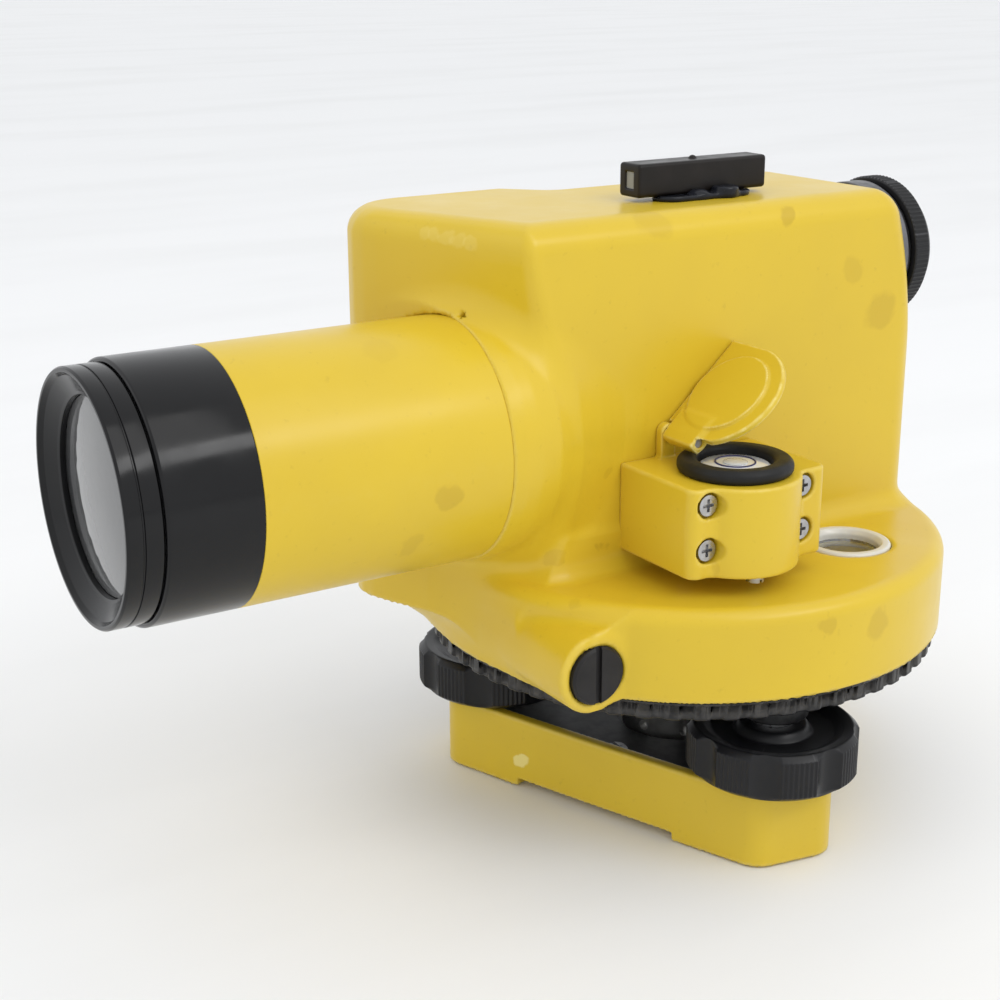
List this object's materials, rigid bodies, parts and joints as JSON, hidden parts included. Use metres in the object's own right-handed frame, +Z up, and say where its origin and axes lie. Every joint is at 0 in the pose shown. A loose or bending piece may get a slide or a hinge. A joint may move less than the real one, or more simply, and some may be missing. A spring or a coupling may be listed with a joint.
{
  "type": "automatic level",
  "caption": "Automatic surveying level: yellow cast telescope body with compensator on a three-footscrew base, with horizontal circle, circular level under a folding mirror and open sight.",
  "frame": {"origin": "on the vertical axis, at the mouth of the tripod thread in the plane of the base plate's feet", "axes": "+Z up along the vertical axis, -Y towards the objective, +Y towards the eyepiece, +X the side with the circular level"},
  "size_m": [0.1424, 0.2386, 0.1705],
  "materials": {
    "yellow_paint": "satin",
    "black_anodised": "satin",
    "black_plastic": "matte",
    "black_rubber": "matte",
    "steel": "brushed",
    "black_steel": "satin",
    "brass": "satin",
    "aluminium": "satin",
    "grey_metal": "satin",
    "optical_glass": "polished",
    "mirror_glass": "polished",
    "scale_metal": "satin"
  },
  "bodies": {
    "base": {"base_plate": "yellow_paint", "tripod_bush": "brass", "capstan_ring": "aluminium", "spring_plate": "black_steel", "spring_plate_screws": "steel"},
    "footscrew_a": {"footscrew_knob_a": "black_anodised", "footscrew_spindle_a": "steel"},
    "footscrew_b": {"footscrew_knob_b": "black_anodised", "footscrew_spindle_b": "steel"},
    "footscrew_c": {"footscrew_knob_c": "black_anodised", "footscrew_spindle_c": "steel"},
    "tribrach": {"tribrach_plate": "black_anodised", "footscrew_bushes": "black_anodised", "bearing_sleeve": "steel", "thrust_balls": "steel"},
    "circle": {"circle_ring": "black_anodised", "circle_scale": "scale_metal"},
    "instrument": {"housing": "yellow_paint", "vertical_spindle": "steel", "side_cover": "yellow_paint", "cover_screws": "steel", "tangent_cap": "black_plastic", "telescope_tube": "yellow_paint", "objective_barrel": "black_anodised", "front_ring": "black_anodised", "crown_lens": "optical_glass", "flint_lens": "optical_glass", "focus_guide": "aluminium", "compensator_frame": "aluminium", "suspension_wires": "steel", "rear_prism": "optical_glass", "reticle": "optical_glass", "eyepiece_bush": "grey_metal", "circle_window_bezel": "aluminium", "circle_window": "optical_glass", "vial_bracket": "yellow_paint", "bracket_screws": "steel", "vial_case": "aluminium", "vial_ring": "black_rubber", "vial_glass": "optical_glass", "vial_screws": "steel", "mirror_pin": "steel", "sight_bar": "black_plastic", "sight_window": "optical_glass", "sight_foot": "black_plastic"},
    "tangent_drive": {"worm_shaft": "steel", "tangent_knob": "black_anodised"},
    "tangent_wheel": {"worm_wheel": "brass"},
    "focus_drive": {"pinion_shaft": "steel", "focus_knob": "black_anodised"},
    "focus_carriage": {"focus_cell": "brass", "focus_lens": "optical_glass"},
    "pendulum_body": {"pendulum": "brass", "pendulum_prism": "optical_glass"},
    "dioptre": {"dioptre_ring": "black_anodised", "eyecup": "black_plastic"},
    "eyepiece_cell": {"eyepiece_tube": "black_anodised", "eyepiece_lenses": "optical_glass"},
    "mirror_cover": {"mirror_plate": "yellow_paint", "mirror_glass": "mirror_glass"}
  },
  "joints": [
    {"name": "footscrew_a_turn", "type": "hinge", "parent": "base", "child": "footscrew_a", "pos_m": [0.05075, -0.00877, 0.028], "axis": [0, 0, 1], "range_deg": [-860, 860]},
    {"name": "footscrew_b_turn", "type": "hinge", "parent": "base", "child": "footscrew_b", "pos_m": [-0.01778, 0.04833, 0.028], "axis": [0, 0, 1], "range_deg": [-860, 860]},
    {"name": "footscrew_c_turn", "type": "hinge", "parent": "base", "child": "footscrew_c", "pos_m": [-0.03297, -0.03957, 0.028], "axis": [0, 0, 1], "range_deg": [-860, 860]},
    {"name": "levelling_lift", "type": "slide", "parent": "base", "child": "tribrach", "axis": [0, 0, 1], "range_m": [-0.00179, 0.00179]},
    {"name": "circle_turn", "type": "hinge", "parent": "tribrach", "child": "circle", "pos_m": [0, 0, 0.046], "axis": [0, 0, 1], "continuous": true},
    {"name": "instrument_turn", "type": "hinge", "parent": "tribrach", "child": "instrument", "pos_m": [0, 0, 0.05], "axis": [0, 0, 1], "continuous": true},
    {"name": "tangent_screw_turn", "type": "hinge", "parent": "instrument", "child": "tangent_drive", "pos_m": [0, -0.06, 0.0565], "axis": [1, 0, 0], "continuous": true},
    {"name": "tangent_wheel_turn", "type": "hinge", "parent": "instrument", "child": "tangent_wheel", "pos_m": [0, 0, 0.0565], "axis": [0, 0, 1], "continuous": true},
    {"name": "focus_turn", "type": "hinge", "parent": "instrument", "child": "focus_drive", "pos_m": [-0.045, -0.045, 0.11115], "axis": [1, 0, 0], "range_deg": [-128, 128]},
    {"name": "focus_slide", "type": "slide", "parent": "instrument", "child": "focus_carriage", "axis": [0, 1, 0], "range_m": [-0.0089, 0.0089]},
    {"name": "compensator_swing", "type": "hinge", "parent": "instrument", "child": "pendulum_body", "pos_m": [0, 0.012, 0.129], "axis": [1, 0, 0], "range_deg": [-0.25, 0.25]},
    {"name": "dioptre_turn", "type": "hinge", "parent": "instrument", "child": "dioptre", "pos_m": [0, 0.065, 0.141], "axis": [0, 1, 0], "range_deg": [-120, 120]},
    {"name": "eyepiece_slide", "type": "slide", "parent": "instrument", "child": "eyepiece_cell", "axis": [0, 1, 0], "range_m": [-0.00146, 0.00146]},
    {"name": "mirror_fold", "type": "hinge", "parent": "instrument", "child": "mirror_cover", "pos_m": [0.03, -0.024, 0.106], "axis": [1, 0, 0], "range_deg": [-40, 30]}
  ],
  "couplings": [
    {"joint": "footscrew_a_turn", "follows": "levelling_lift", "rad_per_m": 8377.6},
    {"joint": "footscrew_b_turn", "follows": "levelling_lift", "rad_per_m": 8377.6},
    {"joint": "footscrew_c_turn", "follows": "levelling_lift", "rad_per_m": 8377.6},
    {"joint": "tangent_wheel_turn", "follows": "tangent_screw_turn", "ratio": -0.0071429},
    {"joint": "focus_turn", "follows": "focus_slide", "rad_per_m": -250},
    {"joint": "dioptre_turn", "follows": "eyepiece_slide", "rad_per_m": 1428.6}
  ]
}
